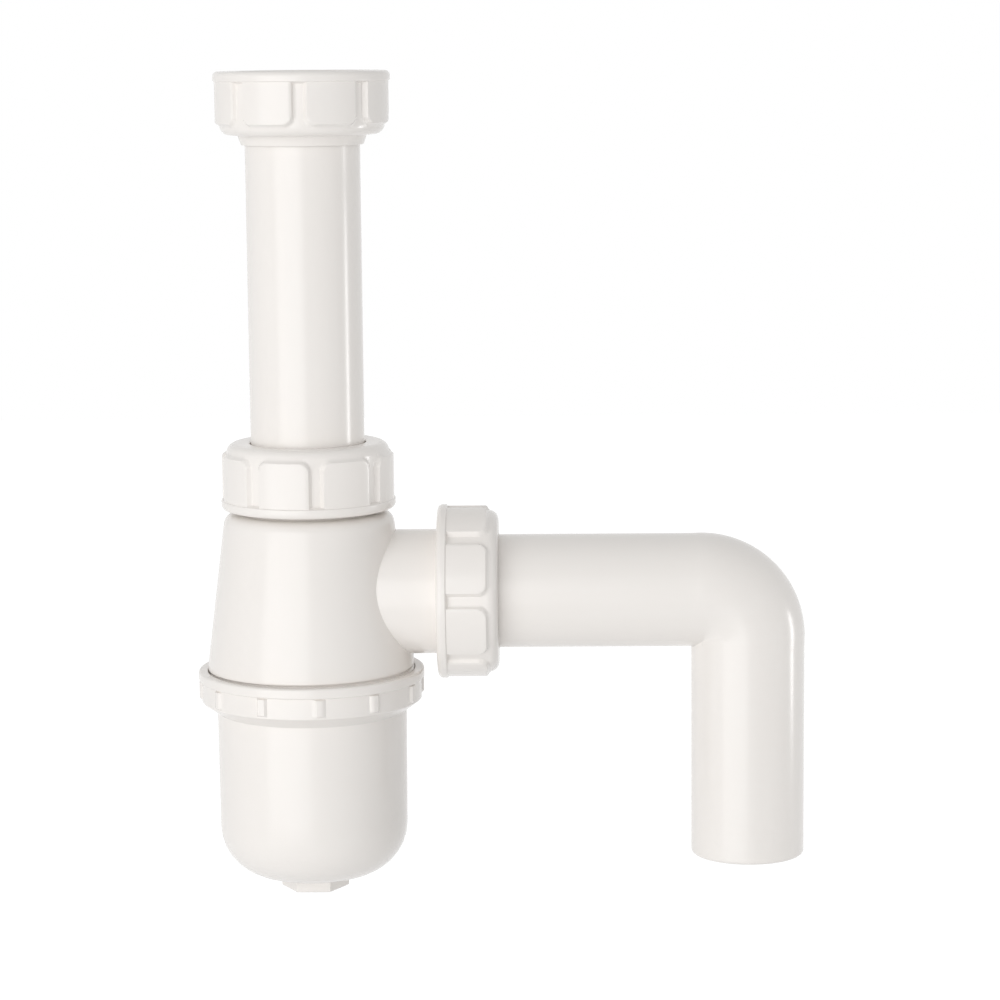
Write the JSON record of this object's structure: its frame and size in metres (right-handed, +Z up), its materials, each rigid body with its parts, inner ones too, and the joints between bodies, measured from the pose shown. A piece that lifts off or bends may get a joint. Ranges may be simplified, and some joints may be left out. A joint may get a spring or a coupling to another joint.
{
  "type": "sink trap",
  "caption": "Telescopic bottle trap for a sink: inlet tube with coupling nut, conical bottle with side branch, screw-on cup and a bent outlet pipe.",
  "frame": {"origin": "on the inlet axis, at the foot of the coupling nut's thread, where the end of the sink waste seats on its washer", "axes": "+Z up, along the inlet axis towards the sink; +X towards the outlet side; the outlet leg points down, to -Z"},
  "size_m": [0.215, 0.08, 0.29],
  "materials": {
    "white_plastic": "moulded polypropylene, glossy, slightly warm white",
    "white_pipe": "drawn polypropylene pipe, glossy, slightly warm white",
    "slip_ring": "plain polyethylene",
    "seal_rubber": "matt black rubber"
  },
  "bodies": {
    "inlet_nut": {"inlet_nut": "white_plastic"},
    "inlet_washer": {"inlet_washer": "seal_rubber"},
    "inlet_tube": {"inlet_tube": "white_pipe"},
    "tube_washer": {"tube_washer": "seal_rubber"},
    "bottle": {"bottle": "white_plastic"},
    "tube_ring": {"tube_ring": "slip_ring"},
    "tube_nut": {"tube_nut": "white_plastic"},
    "cup_seal": {"cup_seal": "seal_rubber"},
    "cup": {"cup": "white_plastic"},
    "outlet_ring": {"outlet_ring": "slip_ring"},
    "outlet_nut": {"outlet_nut": "white_plastic"},
    "outlet_washer": {"outlet_washer": "seal_rubber"},
    "outlet_pipe": {"outlet_pipe": "white_pipe"}
  },
  "joints": [
    {"name": "inlet_lift", "type": "slide", "parent": "inlet_nut", "child": "inlet_washer", "axis": [0, 0, 1], "range_m": [0, 0.045]},
    {"name": "inlet_spin", "type": "hinge", "parent": "inlet_washer", "child": "inlet_tube", "pos_m": [0, 0, 0], "axis": [0, 0, 1], "continuous": true},
    {"name": "height", "type": "slide", "parent": "inlet_tube", "child": "tube_washer", "axis": [0, 0, 1], "range_m": [-0.05, 0.04]},
    {"name": "bottle_turn", "type": "hinge", "parent": "tube_washer", "child": "bottle", "pos_m": [0, 0, -0.17], "axis": [0, 0, 1], "continuous": true},
    {"name": "tube_ring_lift", "type": "slide", "parent": "bottle", "child": "tube_ring", "axis": [0, 0, 1], "range_m": [0, 0.0117]},
    {"name": "tube_nut_turn", "type": "hinge", "parent": "tube_ring", "child": "tube_nut", "pos_m": [0, 0, -0.13], "axis": [0, 0, 1], "range_deg": [0, 1800]},
    {"name": "cup_seal_drop", "type": "slide", "parent": "bottle", "child": "cup_seal", "axis": [0, 0, -1], "range_m": [0, 0.0084]},
    {"name": "cup_turn", "type": "hinge", "parent": "cup_seal", "child": "cup", "pos_m": [0, 0, -0.2], "axis": [0, 0, -1], "range_deg": [0, 990]},
    {"name": "outlet_ring_shift", "type": "slide", "parent": "bottle", "child": "outlet_ring", "axis": [1, 0, 0], "range_m": [0, 0.0106]},
    {"name": "outlet_nut_turn", "type": "hinge", "parent": "outlet_ring", "child": "outlet_nut", "pos_m": [0.055, 0, -0.17], "axis": [1, 0, 0], "range_deg": [0, 1620]},
    {"name": "outlet_swivel", "type": "hinge", "parent": "bottle", "child": "outlet_washer", "pos_m": [0.055, 0, -0.17], "axis": [1, 0, 0], "continuous": true},
    {"name": "outlet_reach", "type": "slide", "parent": "outlet_washer", "child": "outlet_pipe", "axis": [1, 0, 0], "range_m": [-0.004, 0.018]}
  ],
  "couplings": [
    {"joint": "tube_ring_lift", "follows": "tube_nut_turn", "m_per_rad": 0.00036749},
    {"joint": "cup_seal_drop", "follows": "cup_turn", "m_per_rad": 0.00047746},
    {"joint": "outlet_ring_shift", "follows": "outlet_nut_turn", "m_per_rad": 0.00036749}
  ]
}
